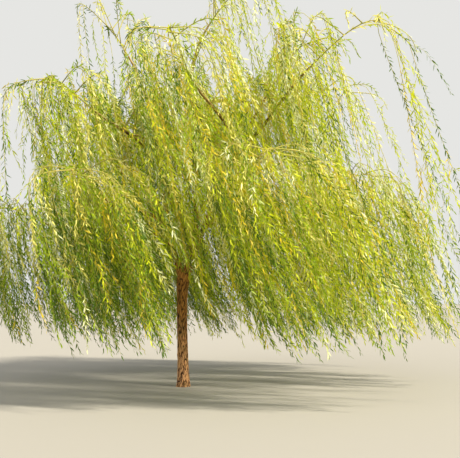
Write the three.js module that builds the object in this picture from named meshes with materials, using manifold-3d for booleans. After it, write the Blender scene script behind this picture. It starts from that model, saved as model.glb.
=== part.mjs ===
// A young weeping willow in leaf, its foliage leaning on a steady breeze that blows along +X.
// Millimetres, +Z up, with the origin in the flat cut under the trunk at ground level.
// The trunk forks into leaders, boughs leave them in two tiers and arch out, and each ends in
// one mass of foliage: a stem, its branches, the long whips that hang from them, and sprays of
// leaves on the whips. Each spray of narrow leaves is one long blade.
import * as THREE from "three";
import { mergeVertices } from "three/addons/utils/BufferGeometryUtils.js";
import Module from "manifold-3d";

// Trunk
const FORK_HEIGHT = 1880;
const TRUNK_RADIUS = 86;
const TRUNK_TAPER = 0.08;
const ROOT_SPREAD = 28;
const ROOT_RISE = 170;
const ROOT_RIDGES = 5;
const RIDGE_DEPTH = 0.35;
const FORK_SWELL = 30;
const SWELL_REACH = 300;
const TOP_ROUNDING_SIDES = 0.07;
const TOP_ROUNDING_FRONT = 0.2;
const TOP_CLOSING = 0.94;
const TRUNK_SWAY = 22;
const TRUNK_BELOW_CUT = 60;
const TRUNK_SIDES = 15;
const TRUNK_STEPS = 12;

// Breeze: how far a hanging whip leans for each millimetre that it drops, high in the crown
// and low, and the share of that which the windward side is spared
const LEAN_HIGH = 0.2;
const LEAN_LOW = 0.56;
const WINDWARD_SPARED = 0.45;
const WINDWARD_REACH = 2600;
const LEAN_SPREAD = 0.26;
const LEAN_ACROSS = 0.06;
const CROWN_TOP = 6900;

// Leaders, which carry the boughs and end in the masses at the top. Azimuths are in degrees,
// and reach is from the trunk's axis to the tip.
const LEADERS = [
  { name: "middle", azimuth: 12, reach: 430, height: 6130, radius: 58 },
  { name: "right", azimuth: -3, reach: 1600, height: 5200, radius: 50 },
  { name: "left", azimuth: 155, reach: 1080, height: 5650, radius: 50 },
];
const LEADER_FOOT = 200;
const LEADER_SET_OUT = 0.34;
const LEADER_RISE = 58;
const LEADER_STEEPNESS = 0.42;

// Tiers of boughs, from the ground up. Leaves is the share of its leader's length at which a
// bough leaves it, floor is how low the whips of that tier hang, and swept is the share that
// its reach and stems gain downwind and lose to windward.
const BOUGHS_IN_TIER = 6;
const TIERS = [
  { name: "skirt", azimuth: -2, reach: 2330, height: 3060, leaves: 0.14, floor: 780, swept: 0 },
  { name: "shoulder", azimuth: 28, reach: 2120, height: 4600, leaves: 0.5, floor: 1100, swept: 0.15 },
];
const TOP_FLOOR = 3500;
const HEIGHT_DOWNWIND = 0.08;
const AZIMUTH_SPREAD = 0.3;
const LEAVES_SPREAD = 0.16;
const REACH_SPREAD = 0.12;
const HEIGHT_SPREAD = 0.07;
const BOUGH_SET_OUT = 0.75;
const BOUGH_RISE = 26;
const BOUGH_STEEPNESS = 0.38;
const BOUGH_RADIUS = 33;
const LIMB_TIP_RADIUS = 15;
const LIMB_TIP_STRAIGHTNESS = 0.33;
const LIMB_TAPER = 0.85;
const LIMB_COLLAR = 0.27;
const COLLAR_REACH = 2.5;

// Foliage of one mass. A twig is tried at each share of its length until it fits.
const STEM_LENGTH = { skirt: 1750, shoulder: 2100, top: 1500 };
const STEM_RADIUS = 13;
const TWIG_TAPER = 0.3;
const STEM_SPREAD = 0.12;
const STEM_SHARES = [1, 0.85, 0.7, 0.55];
const BRANCHES = 3;
const BRANCH_LENGTH = { skirt: 1240, shoulder: 1240, top: 1700 };
const BRANCH_RADIUS = 12.5;
const BRANCH_FOOT = 0.4;
const BRANCH_SHARES = [1, 0.8, 0.6, 0.4];
const BRANCH_TURN_INNER = 112;
const BRANCH_TURN_OUTER = 40;
const WHIPS = 8;
const WHIP_RADIUS = 11.5;
const WHIP_FOOT = 0.35;
const WHIP_BEND = 260;
const WHIP_LEAST = 450;
const WHIP_MOST = 3400;
const WHIP_SHARES = [1, 0.85, 0.7, 0.55, 0.4];
const FLOOR_SPREAD = 700;
const NEAR_END = 0.985;
const SPRAY_PITCH = 740;
const SPRAY_LENGTH = 1100;
const SPRAY_LEAST = 420;
const SPRAY_SMALL = 0.62;
const SPRAY_BELOW_FLOOR = 150;
const SPRAY_WIDTH = 230;
const SPRAY_THICKNESS = 15;
const SPRAY_BROADEST = 0.42;
const SPRAY_SPLAY = 15;
const END_SPRAY_SPLAY = 2;
const SPRAY_SUNK = 0.014;
const SPRAY_COST = 28;

// Fits. A mass keeps to the space nearest to its own middle, on axes that lean with the breeze
// and count height for less than reach, so that the spaces are tall. The way to the trunk from
// the front, along -Y, stays open below its fork.
const GAP = 0.35;
const LOWEST = 120;
const OPENING_HALF_WIDTH = 170;
const OPENING_TOP = 1830;
const SPACE_MARGIN = 14;
const LIMB_MARGIN = 12;
const SPACE_LEAN = 0.34;
const SPACE_TALL = 0.36;
const MIDDLE_OUT = 0.32;
const MIDDLE_DROP = { skirt: 0.2, shoulder: 0.14, top: 0 };

const GOLDEN = (Math.sqrt(5) - 1) / 2;
const UP = new THREE.Vector3(0, 0, 1);

const wasm = await Module();
wasm.setup();

// A repeatable number from 0 to 1 for three whole numbers.
function chance(a, b, c) {
  const s = Math.sin(a * 127.1 + b * 311.7 + c * 74.7) * 43758.5453;
  return s - Math.floor(s);
}

function fraction(x) {
  return x - Math.floor(x);
}

function radians(degrees) {
  return (degrees * Math.PI) / 180;
}

function point(x, y, z) {
  return new THREE.Vector3(x, y, z);
}

function polar(azimuth, reach, height) {
  return point(reach * Math.cos(azimuth), reach * Math.sin(azimuth), height);
}

// A curve that sets out along one direction and comes round to another, at the end for an
// arch and within the bend's length for a whip.
class Arch extends THREE.Curve {
  constructor(start, out, fall, length) {
    super();
    Object.assign(this, { start, out, fall, length });
  }
  getPoint(t) {
    const s = t * this.length;
    const turned = (s * t * t) / 3;
    return this.start
      .clone()
      .addScaledVector(this.out, s - turned)
      .addScaledVector(this.fall, turned);
  }
}

class Whip extends THREE.Curve {
  constructor(start, out, fall, length) {
    super();
    Object.assign(this, { start, out, fall, length });
  }
  getPoint(t) {
    const s = t * this.length;
    const held = WHIP_BEND * (1 - Math.exp(-s / WHIP_BEND));
    return this.start
      .clone()
      .addScaledVector(this.out, held)
      .addScaledVector(this.fall, s - held);
  }
}

// Places along a curve with their cross directions, carried from step to step without twist.
// A frame faces along the straight lengths that meet in it, or along the curve itself at an end
// that bends gently. Facing is the compass angle that a steep curve's first normal looks to.
function framesAlong(curve, steps, facing = 0) {
  const places = Array.from({ length: steps + 1 }, (_, i) => curve.getPoint(i / steps));
  const lengthAt = (i) => places[i + 1].clone().sub(places[i]).normalize();
  let normal = null;
  return places.map((at, i) => {
    const along = lengthAt(Math.max(i - 1, 0)).add(lengthAt(Math.min(i, steps - 1))).normalize();
    const end = i === 0 || i === steps;
    const own = curve.getTangent(i / steps);
    if (end && own.dot(along) > 0.8) along.copy(own);
    if (!normal) normal = Math.abs(along.z) < 0.6 ? UP.clone() : polar(facing, 1, 0);
    normal = normal.clone().addScaledVector(along, -normal.dot(along)).normalize();
    const side = new THREE.Vector3().crossVectors(along, normal);
    return { at, along, normal, side };
  });
}

// A closed tapering tube on a row of frames. radiusAt takes the share of the length and the
// angle, and grown is added all round and past both ends.
function tube(frames, sides, radiusAt, grown = 0) {
  const steps = frames.length - 1;
  const geometry = new THREE.CylinderGeometry(1, 1, 1, sides, steps);
  const ring = geometry.attributes.position;
  for (let i = 0; i < ring.count; i++) {
    const t = ring.getY(i) + 0.5;
    const step = Math.round(t * steps);
    const frame = frames[step];
    const past = step === 0 ? -grown : step === steps ? grown : 0;
    const [a, b] = [ring.getZ(i), ring.getX(i)];
    const radius = radiusAt(t, Math.atan2(b, a)) + grown;
    const moved = frame.at
      .clone()
      .addScaledVector(frame.along, past)
      .addScaledVector(frame.normal, a * radius)
      .addScaledVector(frame.side, b * radius);
    ring.setXYZ(i, moved.x, moved.y, moved.z);
  }
  return geometry;
}

// The straight lengths between a twig's frames, so that what grows from the twig starts in it.
class Course extends THREE.Curve {
  constructor(frames) {
    super();
    this.frames = frames;
  }
  between(t, key) {
    const place = t * (this.frames.length - 1);
    const i = Math.min(Math.floor(place), this.frames.length - 2);
    return this.frames[i][key].clone().lerp(this.frames[i + 1][key], place - i);
  }
  getPoint(t) {
    return this.between(t, "at");
  }
  // The way out of the twig through the middle of one of its three faces
  faceOut(t, face) {
    const angle = ((2 * face + 1) * Math.PI) / 3;
    const out = this.between(t, "normal").multiplyScalar(Math.cos(angle));
    return out.addScaledVector(this.between(t, "side"), Math.sin(angle)).normalize();
  }
}

// One spray of leaves: a lance-shaped blade of four thin faces, ridged along its back and
// broadest before its middle.
function blade(root, along, face, length, width) {
  const across = new THREE.Vector3().crossVectors(along, face).normalize();
  const out = new THREE.Vector3().crossVectors(across, along);
  const geometry = new THREE.TetrahedronGeometry(Math.sqrt(3));
  const corner = geometry.attributes.position;
  for (let i = 0; i < corner.count; i++) {
    const [x, y, z] = [corner.getX(i), corner.getY(i), corner.getZ(i)].map(Math.sign);
    const ridge = z > 0;
    const reach = ridge ? (x > 0 ? 1 : 0) : SPRAY_BROADEST;
    const moved = root
      .clone()
      .addScaledVector(along, reach * length)
      .addScaledVector(across, ridge ? 0 : (-y * width) / 2)
      .addScaledVector(out, ridge ? 0 : -SPRAY_THICKNESS);
    corner.setXYZ(i, moved.x, moved.y, moved.z);
  }
  return geometry;
}

function corners(geometry) {
  const from = geometry.attributes.position;
  const corner = (_, i) => new THREE.Vector3().fromBufferAttribute(from, i);
  return Array.from({ length: from.count }, corner);
}

function solid(geometry) {
  geometry.deleteAttribute("normal");
  geometry.deleteAttribute("uv");
  const merged = mergeVertices(geometry, 1e-3);
  return new wasm.Manifold(
    new wasm.Mesh({
      numProp: 3,
      vertProperties: new Float32Array(merged.attributes.position.array),
      triVerts: new Uint32Array(merged.index.array),
    }),
  );
}

function largest(made) {
  return made.decompose().reduce((a, b) => (b.volume() > a.volume() ? b : a));
}

function drawn(name, made, material) {
  const mesh = made.getMesh();
  const geometry = new THREE.BufferGeometry();
  geometry.setAttribute("position", new THREE.BufferAttribute(mesh.vertProperties, 3));
  geometry.setIndex(new THREE.BufferAttribute(mesh.triVerts, 1));
  geometry.computeVertexNormals();
  const piece = new THREE.Mesh(geometry, material);
  piece.name = name;
  return piece;
}

// The trunk is nearly straight, with ridges that run into the roots. Under the fork it widens
// to the sides that the leaders leave from, and slopes in at front and back.
// Its curve starts a little below the flat cut at ground level, where it is trimmed.
const trunkCurve = new THREE.CatmullRomCurve3([
  point(0, 0, -TRUNK_BELOW_CUT),
  point(-TRUNK_SWAY * 0.4, 0, FORK_HEIGHT * 0.3),
  point(-TRUNK_SWAY, TRUNK_SWAY * 0.4, FORK_HEIGHT * 0.65),
  point(0, 0, FORK_HEIGHT),
]);

function trunkRadius(t, angle) {
  const height = Math.max(0, t * (FORK_HEIGHT + TRUNK_BELOW_CUT) - TRUNK_BELOW_CUT);
  const flare = ROOT_SPREAD * Math.exp(-height / ROOT_RISE);
  const ridges = 1 + RIDGE_DEPTH * Math.cos(ROOT_RIDGES * angle + 0.6);
  const sideways = Math.cos(angle) ** 2;
  const swell = FORK_SWELL * sideways * Math.exp(-(((height - FORK_HEIGHT) / SWELL_REACH) ** 2));
  const roundedOver = TOP_ROUNDING_FRONT + (TOP_ROUNDING_SIDES - TOP_ROUNDING_FRONT) * sideways;
  const rounding = Math.sqrt(1 - TOP_CLOSING * Math.max(0, (t - 1) / roundedOver + 1) ** 2);
  const taper = 1 + TRUNK_TAPER * (0.5 - t);
  return (TRUNK_RADIUS * taper + flare * ridges + swell) * rounding;
}

function trunkTube(grown) {
  const frames = framesAlong(trunkCurve, TRUNK_STEPS);
  return solid(tube(frames, TRUNK_SIDES, trunkRadius, grown)).trimByPlane([0, 0, 1], 0);
}

// A limb: one tapering tube, with a collar that is widest where it comes out of what carries it.
function limbRadius(limb, t) {
  const taper = (1 - t) ** LIMB_TAPER;
  const fromFoot = (t * limb.curve.getLength()) / (COLLAR_REACH * limb.radius);
  const collar = LIMB_COLLAR * limb.radius * fromFoot * Math.exp(1 - fromFoot);
  return limb.tip + (limb.radius - limb.tip) * taper + collar;
}

function limbTube(limb, grown) {
  const frames = framesAlong(limb.curve, limb.steps);
  return solid(tube(frames, limb.sides, (t) => limbRadius(limb, t), grown));
}

// What has been placed so far, each a little grown, so that the next limb is cut clear of it.
const placed = [trunkTube(GAP)];
const limbs = [];

function placeLimb(limb) {
  let made = limbTube(limb, 0);
  for (const other of placed) made = made.subtract(other);
  limb.solid = largest(made);
  placed.push(limbTube(limb, GAP));
  limbs.push(limb);
  return limb;
}

// A bough or leader rises from its foot, leans out, and reaches its tip at the angle rise.
function arching(foot, away, tip, rise, steepness) {
  const span = foot.distanceTo(tip);
  const out = point(tip.x - foot.x, tip.y - foot.y, 0).normalize();
  const end = out.clone().multiplyScalar(Math.cos(rise)).addScaledVector(UP, Math.sin(rise));
  return new THREE.CubicBezierCurve3(
    foot,
    foot.clone().addScaledVector(away, span * steepness),
    tip.clone().addScaledVector(end, -span * LIMB_TIP_STRAIGHTNESS),
    tip,
  );
}

const leaders = LEADERS.map((plan) => {
  const azimuth = radians(plan.azimuth);
  const foot = point(0, 0, FORK_HEIGHT - LEADER_FOOT);
  const tip = polar(azimuth, plan.reach, plan.height);
  const away = polar(azimuth, LEADER_SET_OUT, 1).normalize();
  return placeLimb({
    name: "leader_" + plan.name,
    mass: "foliage_top_" + plan.name,
    tier: "top",
    azimuth,
    radius: plan.radius,
    tip: LIMB_TIP_RADIUS,
    curve: arching(foot, away, tip, radians(LEADER_RISE), LEADER_STEEPNESS),
    steps: 8,
    sides: 8,
    floor: TOP_FLOOR,
    swept: 0,
  });
});

// The leader that stands nearest to an azimuth carries the boughs that go that way.
function carrier(azimuth) {
  const apart = (l) => 1 - Math.cos(l.azimuth - azimuth);
  return leaders.reduce((a, b) => (apart(b) < apart(a) ? b : a));
}

const boughs = [...TIERS].reverse().flatMap((tier, level) =>
  Array.from({ length: BOUGHS_IN_TIER }, (_, k) => {
    const apart = 360 / BOUGHS_IN_TIER;
    const turned = k + AZIMUTH_SPREAD * (chance(k, level, 1) - 0.5);
    const azimuth = radians(tier.azimuth + apart * turned);
    const leader = carrier(azimuth);
    const leaves = tier.leaves + LEAVES_SPREAD * (chance(k, level, 2) - 0.3);
    const foot = leader.curve.getPoint(leaves);
    const downwind = Math.cos(azimuth);
    const tip = polar(
      azimuth,
      tier.reach * (1 + tier.swept * downwind + REACH_SPREAD * (chance(k, level, 3) - 0.5)),
      tier.height * (1 + HEIGHT_DOWNWIND * downwind + HEIGHT_SPREAD * (chance(k, level, 4) - 0.5)),
    );
    const outward = polar(azimuth, BOUGH_SET_OUT, 0);
    const away = leader.curve.getTangent(leaves).add(outward).normalize();
    return placeLimb({
      name: "bough_" + tier.name + "_" + (k + 1),
      mass: "foliage_" + tier.name + "_" + (k + 1),
      tier: tier.name,
      azimuth,
      radius: BOUGH_RADIUS,
      tip: LIMB_TIP_RADIUS,
      curve: arching(foot, away, tip, radians(BOUGH_RISE), BOUGH_STEEPNESS),
      steps: 6,
      sides: 6,
      floor: tier.floor,
      swept: tier.swept,
    });
  }),
);

function leaned(p) {
  return point(p.x + SPACE_LEAN * p.z, p.y, SPACE_TALL * p.z);
}

const masses = [...leaders, ...boughs].map((limb, number) => {
  const out = limb.curve.getTangent(1);
  const start = limb.curve.getPoint(1);
  const swept = 1 + limb.swept * Math.cos(limb.azimuth);
  const stemLength = swept * STEM_LENGTH[limb.tier] * (1 + STEM_SPREAD * (chance(number, 5, 0) - 0.5));
  const drop = MIDDLE_DROP[limb.tier] * (start.z - limb.floor);
  const middle = start
    .clone()
    .addScaledVector(point(out.x, out.y, 0), MIDDLE_OUT * stemLength)
    .add(point(SPACE_LEAN * drop, 0, -drop));
  const others = limbs.filter((other) => other !== limb).map((other) => limbTube(other, LIMB_MARGIN));
  const limbsNear = wasm.Manifold.union([trunkTube(LIMB_MARGIN), limbTube(limb, GAP / 2), ...others]);
  return { limb, number, start, out, stemLength, middle: leaned(middle), limbsNear };
});

function insideSpace(mass, points) {
  return masses.every((other) => {
    if (other === mass) return true;
    const apart = other.middle.clone().sub(mass.middle);
    const half = other.middle.clone().add(mass.middle).multiplyScalar(0.5);
    const distance = apart.length();
    return points.every((p) => half.clone().sub(leaned(p)).dot(apart) / distance > SPACE_MARGIN);
  });
}

// Whether a twig or spray reaches into the way to the trunk from the front. Long faces may
// cross it, so their edges are followed in steps.
function closesOpening(points) {
  return points.some((p, i) => {
    const next = points[i % 3 === 2 ? i - 2 : i + 1];
    return [0, 0.25, 0.5, 0.75].some((share) => {
      const q = p.clone().lerp(next, share);
      return q.y < 0 && q.z < OPENING_TOP && Math.abs(q.x) < OPENING_HALF_WIDTH;
    });
  });
}

// Whether a twig or spray stays in its mass's space, above the ground and clear of the limbs.
function fits(mass, geometry) {
  const points = corners(geometry);
  if (points.some((p) => p.z < LOWEST) || !insideSpace(mass, points)) return false;
  if (closesOpening(corners(geometry.index ? geometry.toNonIndexed() : geometry))) return false;
  return solid(geometry).intersect(mass.limbsNear).isEmpty();
}

// The way a twig hangs in the breeze from its start.
function hanging(start, a, b) {
  const low = 1 - start.z / CROWN_TOP;
  const windward = Math.min(1, Math.max(0, -start.x / WINDWARD_REACH));
  const lean = (LEAN_HIGH + (LEAN_LOW - LEAN_HIGH) * low) * (1 - WINDWARD_SPARED * windward);
  const along = lean + LEAN_SPREAD * (chance(a, b, 7) - 0.5);
  const across = LEAN_ACROSS + LEAN_SPREAD * (chance(a, b, 8) - 0.5);
  return point(along, across, -1).normalize();
}

// A spray on a whip: the first ends the whip and the others splay from it, each out of one of
// the whip's three faces. It takes the face at which it runs through the fewest others, is
// made smaller where it fits at none, and is skipped where that fits at none either.
function addSpray(mass, made, whip, n) {
  const { course, floor, w } = whip;
  const s = n === 0 ? NEAR_END : 0.1 + 0.8 * fraction(0.2 + GOLDEN * n);
  const hook = course.getPoint(s);
  const splay = radians(n === 0 ? END_SPRAY_SPLAY : SPRAY_SPLAY);
  const full = SPRAY_LENGTH * (0.8 + 0.4 * chance(mass.number, w, 30 + n));
  const width = SPRAY_WIDTH * (0.85 + 0.3 * chance(mass.number, w, 50 + n));
  let best = null;
  for (let turn = 0; turn < 6 && !(best && turn === 3); turn++) {
    const face = course.faceOut(s, n + turn);
    const along = course.getTangent(s).multiplyScalar(Math.cos(splay));
    along.addScaledVector(face, Math.sin(splay));
    const left = (hook.z - floor + SPRAY_BELOW_FLOOR) / -along.z;
    const share = turn < 3 ? 1 : SPRAY_SMALL;
    const span = share * Math.min(full, Math.max(left, SPRAY_LEAST));
    const root = hook.clone().addScaledVector(along, -SPRAY_SUNK * full);
    const leaf = blade(root, along, face, span, share * width);
    if (!fits(mass, leaf)) continue;
    const joined = made.add(solid(leaf));
    if (!best || joined.numTri() < best.numTri()) best = joined;
  }
  return best && best.numTri() - made.numTri() <= SPRAY_COST ? best : made;
}

// A twig at the longest share of its full length that fits.
function twig(mass, shares, curveFor, steps, radiusAt, facing = 0) {
  for (const share of shares) {
    const frames = framesAlong(curveFor(share), steps, facing);
    const geometry = tube(frames, 3, radiusAt);
    if (fits(mass, geometry)) return { course: new Course(frames), made: solid(geometry) };
  }
  return null;
}

// The radius along a twig whose narrow first ring is rooted inside the twig that carries it.
function rooted(radius, foot) {
  return (t) => radius * (t === 0 ? foot : 1 - TWIG_TAPER * t);
}

// One mass: the stem carries on from its limb, branches leave it on both sides, whips hang
// from all of them, and sprays hang from the whips.
function grow(mass) {
  const { limb, number, start, out, stemLength } = mass;
  const foot = start.clone().addScaledVector(out, GAP);
  const stemCurve = (share) => new Arch(foot, out, hanging(foot, number, 0), stemLength * share);
  const stem = twig(mass, STEM_SHARES, stemCurve, 5, (t) => STEM_RADIUS * (1 - TWIG_TAPER * t));
  if (!stem) throw new Error(limb.mass + " has no room for its stem");
  const carriers = [stem.course];
  let made = stem.made;

  for (let j = 0; j < BRANCHES; j++) {
    const t = 0.06 + 0.78 * fraction(0.1 + GOLDEN * j);
    const turn = BRANCH_TURN_INNER + (BRANCH_TURN_OUTER - BRANCH_TURN_INNER) * t;
    const turned = radians(turn + 30 * (chance(number, j, 9) - 0.5));
    const aside = stem.course.getTangent(t).applyAxisAngle(UP, j % 2 ? turned : -turned);
    aside.z = Math.max(aside.z, -0.2) + 0.12;
    aside.normalize();
    const from = stem.course.getPoint(t);
    const full = BRANCH_LENGTH[limb.tier] * (1 - 0.35 * t);
    const curve = (share) => new Arch(from, aside, hanging(from, number, j + 1), full * share);
    const branch = twig(mass, BRANCH_SHARES, curve, 3, rooted(BRANCH_RADIUS, BRANCH_FOOT));
    if (!branch) continue;
    carriers.push(branch.course);
    made = made.add(branch.made);
  }

  for (let w = 0; w < WHIPS; w++) {
    const held = carriers[w % carriers.length];
    const round = Math.floor(w / carriers.length);
    const place = fraction(0.35 + GOLDEN * (round + 2 * (w % carriers.length)));
    const t = round === 0 ? NEAR_END : 0.15 + 0.75 * place;
    const from = held.getPoint(t);
    const turn = round === 0 ? 0 : 150 * (chance(number, w, 10) - 0.5);
    const set = held.getTangent(t).applyAxisAngle(UP, radians(turn));
    set.z = Math.min(set.z, 0.1);
    set.normalize();
    const fall = hanging(from, number, w + 20);
    const floor = limb.floor + FLOOR_SPREAD * chance(number, w, 11) ** 2;
    const room = Math.min(WHIP_MOST, (from.z - floor) / -fall.z);
    const shares = WHIP_SHARES.filter((share) => room * share > WHIP_LEAST);
    const curve = (share) => new Whip(from, set, fall, room * share);
    const facing = 2 * Math.PI * chance(number, w, 12);
    const whip = twig(mass, shares, curve, 3, rooted(WHIP_RADIUS, WHIP_FOOT), facing);
    if (!whip) continue;
    made = made.add(whip.made);
    const sprays = Math.max(2, Math.round(whip.course.getLength() / SPRAY_PITCH));
    for (let n = 0; n < sprays; n++) made = addSpray(mass, made, { course: whip.course, floor, w }, n);
  }
  return largest(made);
}

function finish(name, color, roughness) {
  return new THREE.MeshStandardMaterial({ name, color, roughness, metalness: 0 });
}

const bark = finish("bark", "#8a6a4e", 0.9);
const youngBark = finish("young_bark", "#8b7a3c", 0.8);
const foliage = finish("foliage", "#a3a83e", 0.6);

const willow = new THREE.Group();
willow.add(drawn("trunk", trunkTube(0), bark));
for (const limb of limbs) willow.add(drawn(limb.name, limb.solid, youngBark));
for (const mass of masses) willow.add(drawn(mass.limb.mass, grow(mass), foliage));

export default willow;
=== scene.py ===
import math

import bmesh
import bpy
import numpy as np
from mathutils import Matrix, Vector, noise


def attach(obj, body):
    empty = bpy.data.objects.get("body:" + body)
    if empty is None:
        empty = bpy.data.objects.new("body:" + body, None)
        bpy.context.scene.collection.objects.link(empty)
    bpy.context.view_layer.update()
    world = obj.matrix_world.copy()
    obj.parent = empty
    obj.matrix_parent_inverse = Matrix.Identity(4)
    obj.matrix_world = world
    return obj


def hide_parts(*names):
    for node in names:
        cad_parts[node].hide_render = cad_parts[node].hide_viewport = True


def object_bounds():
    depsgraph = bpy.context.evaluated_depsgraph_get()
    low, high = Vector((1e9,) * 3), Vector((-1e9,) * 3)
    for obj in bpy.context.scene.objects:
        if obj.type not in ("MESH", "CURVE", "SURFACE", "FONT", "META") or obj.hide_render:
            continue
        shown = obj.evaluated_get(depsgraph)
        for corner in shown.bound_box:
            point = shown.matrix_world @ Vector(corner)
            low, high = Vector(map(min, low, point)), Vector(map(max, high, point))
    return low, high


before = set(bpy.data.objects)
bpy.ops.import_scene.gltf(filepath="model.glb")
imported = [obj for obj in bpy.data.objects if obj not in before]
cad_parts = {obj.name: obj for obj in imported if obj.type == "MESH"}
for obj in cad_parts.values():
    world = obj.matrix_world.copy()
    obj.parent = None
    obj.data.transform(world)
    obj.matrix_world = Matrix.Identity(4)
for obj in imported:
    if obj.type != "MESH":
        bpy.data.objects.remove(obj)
cad_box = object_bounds()

# Camera, fitted to the frame of the photograph in pixels
FRAME_WIDTH = 460
FOCAL_PIXELS = 780
SENSOR_WIDTH = 36
EYE_HEIGHT = 1.55
EYE_DISTANCE = 13.0
PITCH_UP = 4.6
YAW_RIGHT = 3.4
VIEW_END = 400

# Light: a sun from the right and a little in front, a weaker and softer one from in front on
# the left, and an even fill
KEY_AZIMUTH = -34
KEY_ELEVATION = 44
KEY_LIGHT = 7.6
KEY_SOFTNESS = 5
FILL_LIGHT = 0.74
SIDE_AZIMUTH = -122
SIDE_ELEVATION = 38
SIDE_LIGHT = 1.2
SIDE_SOFTNESS = 50
BACKDROP_LIGHT = 0.9
FLOOR_RADIUS = 90

# Trunk
FORK_HEIGHT = 1.88
TRUNK_RADIUS = 0.086
TRUNK_TAPER = 0.08
ROOT_SPREAD = 0.028
ROOT_RISE = 0.17
ROOT_RIDGES = 5
RIDGE_DEPTH = 0.35
RIDGE_TURN = 0.6
FORK_SWELL = 0.03
SWELL_REACH = 0.3
TOP_ROUNDING_SIDES = 0.07
TOP_ROUNDING_FRONT = 0.2
TOP_CLOSING = 0.94
TRUNK_SWAY = 0.022
TRUNK_BELOW_CUT = 0.06

# Breeze: how far a hanging whip leans for each metre that it drops, high in the crown and low
LEAN_HIGH = 0.2
LEAN_LOW = 0.56
WINDWARD_SPARED = 0.45
WINDWARD_REACH = 2.6
LEAN_SPREAD = 0.26
LEAN_ACROSS = 0.06
CROWN_TOP = 6.9

# Leaders and tiers of boughs. An azimuth turns from +X towards +Y, and reach and height are those
# of the limb's tip. A bough leaves its leader at the share of its length that leaves gives, and
# floor is how low the whips of its mass hang. Swept boughs reach further downwind.
LEADERS = [
    {"name": "middle", "azimuth": 12, "reach": 0.43, "height": 6.13, "radius": 0.058},
    {"name": "right", "azimuth": -3, "reach": 1.6, "height": 5.2, "radius": 0.05},
    {"name": "left", "azimuth": 155, "reach": 1.08, "height": 5.65, "radius": 0.05},
]
LEADER_FOOT = 0.2
LEADER_SET_OUT = 0.34
LEADER_RISE = 58
LEADER_STEEPNESS = 0.42
TIERS = [
    {
        "name": "shoulder",
        "azimuth": 28,
        "reach": 2.12,
        "height": 4.6,
        "leaves": 0.5,
        "floor": 1.1,
        "swept": 0.15,
    },
    {
        "name": "skirt",
        "azimuth": -2,
        "reach": 2.33,
        "height": 3.06,
        "leaves": 0.14,
        "floor": 0.78,
        "swept": 0,
    },
]
TOP_FLOOR = 3.5
BOUGHS_IN_TIER = 6
HEIGHT_DOWNWIND = 0.08
AZIMUTH_SPREAD = 0.3
LEAVES_SPREAD = 0.16
REACH_SPREAD = 0.12
HEIGHT_SPREAD = 0.07
BOUGH_SET_OUT = 0.75
BOUGH_RISE = 26
BOUGH_STEEPNESS = 0.38
BOUGH_RADIUS = 0.033
LIMB_TIP_RADIUS = 0.015
LIMB_TIP_STRAIGHTNESS = 0.33
LIMB_TAPER = 0.85
LIMB_COLLAR = 0.27
COLLAR_REACH = 2.5

# Bark: long furrows between flat ridges, shallower on young limbs. A knot has its height on the
# trunk, its azimuth and its size, and is a low mound with a hollow in its middle.
FURROW_SPACING = 0.024
FURROW_LENGTH = 0.2
FURROW_TWIST = 2.1
FURROW_SHARPNESS = 2.2
FURROW_NARROWNESS = 3.2
FURROW_CUT = 1.25
RIDGE_TOP = 1.12
CRUMB_HEIGHT = 0.3
CRUMB_LENGTH = 0.03
CRUMBS_IN_SPACING = 3
FURROW_DEPTH = 0.008
YOUNG_FURROW_DEPTH = 0.0024
DEPTH_GROWTH = 1.5
BARK_STEP = 0.0055
BARK_AROUND = 150
YOUNG_BARK_STEP = 0.012
YOUNG_BARK_AROUND = {"skirt": 36, "shoulder": 36, "top": 64}
TRUNK_SEED = 3.7
LIMB_SEED = 11.3
LIMB_SEED_STEP = 5.1
KNOTS = [(0.52, 200, 0.03), (0.94, 318, 0.024), (1.31, 262, 0.034), (1.56, 60, 0.028)]
KNOT_HEIGHT = 0.011
KNOT_FLATTENING = 0.8
HOLLOW_DEPTH = 0.75
HOLLOW_SIZE = 0.42

# The stem of a mass. Each twig is tried at these shares of its full length until it fits.
STEM_LENGTH = {"skirt": 1.75, "shoulder": 2.1, "top": 1.5}
STEM_SPREAD = 0.12
STEM_RADIUS = 0.013
STEM_SHARES = [1, 0.85, 0.7, 0.55]
STEM_TIP = 0.4

# Branches, on the stem from a first to a last share of its length. The first are those of the
# solids.
FIRST_BRANCHES = 3
BRANCHES = 9
BRANCH_LENGTH = {"skirt": 1.24, "shoulder": 1.24, "top": 1.7}
BRANCH_SHORTENING = 0.35
BRANCH_RADIUS = 0.0105
BRANCH_SHARES = [1, 0.8, 0.6, 0.4]
BRANCH_TIP = 0.4
BRANCHES_FROM = 0.06
BRANCHES_OVER = 0.78
BRANCH_TURN_INNER = 112
BRANCH_TURN_OUTER = 40
BRANCH_TURN_SPREAD = 30
BRANCH_STEEPEST_FALL = -0.2
BRANCH_LIFT = 0.12
HIGH_BRANCH_RISE = 0.95

# Branches on the limb itself
LIMB_BRANCHES = {"skirt": 3, "shoulder": 7, "top": 8}
LIMB_BRANCHES_FROM = {"skirt": 0.5, "shoulder": 0.4, "top": 0.5}
LIMB_BRANCHES_TO = 0.96
LIMB_BRANCH_RISE = {"skirt": 0.85, "shoulder": 1.5, "top": 0.85}
LIMB_BRANCH_SHARE = {"skirt": 0.75, "shoulder": 1.05, "top": 0.75}
LIMB_BRANCH_SPREAD = 0.35
LIMB_BRANCH_TURN = 65
LIMB_BRANCH_TURN_SPREAD = 60

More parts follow.
